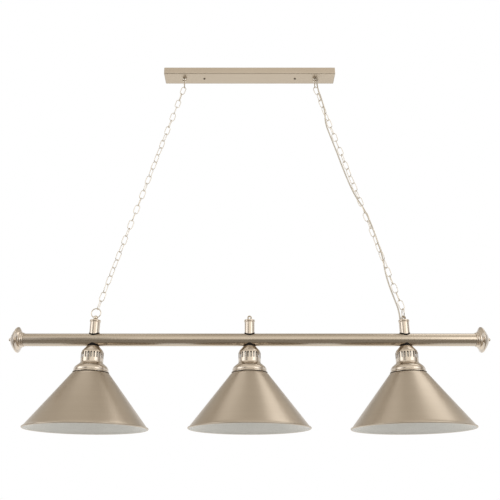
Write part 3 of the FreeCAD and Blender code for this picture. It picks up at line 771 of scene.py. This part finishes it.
def make_canopy_screws():
    """Dome head screws with a cross recess."""
    low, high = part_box("canopy_screws")
    head, dome, base = 4.25, 3.4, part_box("canopy")[0].z / MM
    outline = traced([(0, base - dome), (head * 0.62, base - dome * 0.72, "arc"), (head, base - 0.5),
                      (head, base), (2.4, base), (2.4, base + 5), (0, base + 5)])
    cross = bmesh.new()
    arm, slit, recess = 4.4, 1.0, 3.2
    for size in ((arm, slit, recess), (slit, arm, recess)):
        size = Vector(size) * MM
        at = Matrix.Translation(Vector((0, 0, base - dome)) * MM)
        bmesh.ops.create_cube(cross, size=1.0, matrix=at @ Matrix.Diagonal((*size, 1)))
    tool = bpy.data.meshes.new("cross")
    cross.to_mesh(tool)
    cross.free()
    screw = carved("screw", lathe("screw_blank", outline, segments=48), [tool])
    x = (high.x - low.x) / 2 - head * MM
    placed = [(screw, Matrix.Translation((side * x, 0, 0))) for side in SIDES.values()]
    mesh = join_meshes("cross_recess_screws", placed)
    mesh.materials.clear()
    piece("cross_recess_screws", mesh, "canopy", [dark_screw],
          stands_for=["canopy_screws"])


make_canopy()
make_canopy_screws()


# ---- lamp holders and bulbs ----------------------------------------------------

def make_holder(name):
    """Glazed holder: domed shoulder, ribbed waist and an outside thread for the shade ring."""
    outline = [(5.2, -38), (12, -38), (14.6, -40.6), (17, -50), (17, -85.3), (20, -89.3)]
    turns, pitch = 8, 2.5
    for k in range(turns):
        z = -91.0 - pitch * k
        outline += [(20.0, z), (19.3, z - 1.25)]
    outline += [(19.8, -111), (19.0, -112), (13.6, -112), (13.2, -111.6)]
    turns, pitch = 6, 4.4
    for k in range(turns):
        z = -108.5 + pitch * k
        outline += [(13.08, z), (13.5, z + pitch / 2)]
    outline += [(13.08, -80.2), (5.2, -80.2)]
    mesh = lathe("glazed_holder_" + name, softened(outline, 0.5, least=30), segments=80)
    piece("glazed_holder_" + name, mesh, "bar", [porcelain], at=(LAMP_X[name], 0, BAR_Z),
          stands_for=["lamp_holder_" + name])


def make_bulb(name):
    """Frosted globe on a screw cap with a rolled thread, a black insulator and a contact."""
    globe, depth = 30.0, 186.0
    centre = -depth + globe
    shoulder = math.radians(38)
    flank = math.radians(-26)
    widest = (globe * math.cos(shoulder), centre + globe * math.sin(shoulder))
    below = (globe * math.cos(flank), centre + globe * math.sin(flank), "arc")
    cap = [(0, -80.4), (4.6, -80.5), (5.2, -81.2), (9.5, -83.2), (11.4, -84.4)]
    insulator = 3
    turns, pitch = 5, 3.9
    for k in range(turns):
        z = -86.0 - pitch * k
        cap += [(12.3, z + 1.2), (12.9, z), (12.3, z - 1.6)]
    cap += [(12.6, -105.4)]
    glass = traced([(12.5, -106.2), (12.5, -113.0), widest])
    glass += traced([widest, below, (0, -depth)], 28)[1:]
    outline = cap + glass

    def skin(k):
        if k >= len(cap) - 1:
            return 0
        return 2 if 1 <= k <= insulator else 1

    mesh = lathe("screw_bulb_" + name, outline, segments=80, skin=skin, sharp=45)
    piece("screw_bulb_" + name, mesh, "bulb_" + name, [frosted, zinc, plastic],
          at=(LAMP_X[name], 0, BAR_Z), stands_for=["bulb_" + name])


for name in LAMPS:
    make_holder(name)
    make_bulb(name)


# ---- studio ------------------------------------------------------------------

def softbox(name, place, aim, width, height, radiance):
    """Area light that shines with an even radiance."""
    data = bpy.data.lights.new(name, "AREA")
    data.shape = "RECTANGLE"
    data.size = width
    data.size_y = height
    data.energy = radiance * math.pi * width * height
    lamp = bpy.data.objects.new(name, data)
    bpy.context.scene.collection.objects.link(lamp)
    lamp.location = place
    lamp.rotation_euler = (Vector(aim) - Vector(place)).to_track_quat("-Z", "Y").to_euler()


def card(name, corners, colour):
    """Studio card that only shows in reflections."""
    mesh = bpy.data.meshes.new(name)
    mesh.from_pydata(corners, [], [(0, 1, 2, 3)])
    made = bpy.data.objects.new(name, mesh)
    bpy.context.scene.collection.objects.link(made)
    paint = bpy.data.materials.new(name)
    paint.use_nodes = True
    tree = paint.node_tree
    tree.nodes.clear()
    glow = tree.nodes.new("ShaderNodeEmission")
    glow.inputs["Color"].default_value = (*colour, 1)
    glow.inputs["Strength"].default_value = 1.0
    out = tree.nodes.new("ShaderNodeOutputMaterial")
    tree.links.new(glow.outputs[0], out.inputs[0])
    mesh.materials.append(paint)
    made.visible_camera = False
    made.visible_diffuse = False
    made.visible_shadow = False
    made.visible_transmission = False


def panel(name, span, first, second, colour):
    """Card between two edges along X, each given by its Y and Z."""
    (left, right), (y, z), (far_y, far_z) = span, first, second
    card(name, [(left, y, z), (right, y, z), (right, far_y, far_z), (left, far_y, far_z)], colour)


def shown_rays(tree):
    """One where a ray comes from the camera, a mirror or glass, and nought elsewhere."""
    path = tree.nodes.new("ShaderNodeLightPath")
    seen = path.outputs["Is Camera Ray"]
    for ray in ("Is Glossy Ray", "Is Transmission Ray"):
        more = tree.nodes.new("ShaderNodeMath")
        more.operation = "MAXIMUM"
        tree.links.new(seen, more.inputs[0])
        tree.links.new(path.outputs[ray], more.inputs[1])
        seen = more.outputs[0]
    return seen


def two_levels(tree, other, shown, socket):
    """Sets a strength: one level for what is seen and another for what lights the object."""
    level = tree.nodes.new("ShaderNodeMapRange")
    level.inputs["To Min"].default_value = other
    level.inputs["To Max"].default_value = shown
    tree.links.new(shown_rays(tree), level.inputs["Value"])
    tree.links.new(level.outputs["Result"], socket)


def make_world():
    """White to the camera and in the metal, and softer on the surfaces that it lights."""
    world = bpy.data.worlds.new("studio")
    bpy.context.scene.world = world
    world.use_nodes = True
    background = world.node_tree.nodes["Background"]
    background.inputs["Color"].default_value = (1, 1, 1, 1)
    two_levels(world.node_tree, 0.64, 1.0, background.inputs["Strength"])


def make_floor():
    """Plain pale floor, whiter to the camera than to the lamp, that keeps the lamp's shadow."""
    size, z = 30, -3.4
    mesh = bpy.data.meshes.new("floor")
    corners = [(-size, -size, z), (size, -size, z), (size, size, z), (-size, size, z)]
    mesh.from_pydata(corners, [], [(0, 1, 2, 3)])
    floor = bpy.data.objects.new("floor", mesh)
    bpy.context.scene.collection.objects.link(floor)
    paint = moulded("floor_paint", (0.84, 0.84, 0.83), (0.82, 0.82, 0.81), 0.8, grain=30, bump=0.0)
    shader = paint.node_tree.nodes["Principled BSDF"]
    shader.inputs["Emission Color"].default_value = (1, 1, 1, 1)
    two_levels(paint.node_tree, 0.0, 0.36, shader.inputs["Emission Strength"])
    mesh.materials.append(paint)


make_world()
make_floor()
softbox("front_left", (-3.0, -1.2, -0.25), (0, 0, -0.95), 1.6, 1.8, 1.15)
softbox("front_right", (2.4, -2.2, -0.25), (0, 0, -0.95), 1.7, 1.8, 1.15)
softbox("top_left", (-1.1, 0.2, 1.8), (0, 0, -0.9), 0.8, 1.5, 0.55)
softbox("top_right", (1.7, 0.35, 1.3), (0.1, 0, -0.9), 1.5, 1.5, 1.08)
panel("ceiling_front", (-5, 5), (-4.6, 2.1), (-1.3, 2.1), (0.98, 0.92, 0.83))
panel("ceiling_card", (-5, 5), (-1.3, 2.1), (4, 2.1), (0.67, 0.62, 0.55))
panel("rear_card", (-5, 5), (4, 0.9), (4, 2.1), (0.50, 0.47, 0.43))
panel("front_glow", (-1.25, 3.2), (-3.4, -0.62), (-3.4, 1.25), (1.32, 1.27, 1.18))
panel("front_dark", (-2.6, -1.3), (-3.3, -1.7), (-3.3, 0.6), (0.34, 0.31, 0.27))
panel("front_low", (-1.3, 3.2), (-3.3, -1.75), (-3.3, -0.75), (0.55, 0.51, 0.45))
panel("rear_low_card", (-4, 4), (0.5, -2.3), (4.2, -2.25), (1.15, 1.12, 1.06))
panel("low_far_card", (-4, 4), (-4.4, -1.75), (-1.9, -2.15), (0.30, 0.275, 0.24))
panel("low_card", (-4, 4), (-1.9, -2.15), (-0.2, -2.2), (0.36, 0.33, 0.29))
SIDE_DARK = (0.30, 0.27, 0.24)
card("side_card", [(3.2, -0.6, -2.2), (3.2, 0.5, -2.2), (3.2, 0.5, 0.6), (3.2, -0.6, 0.6)], SIDE_DARK)
card("far_side_card", [(-3.2, 0.9, -2.2), (-3.2, 0.0, -2.2), (-3.2, 0.0, 0.6), (-3.2, 0.9, 0.6)], SIDE_DARK)

bpy.context.scene.view_settings.view_transform = "Standard"
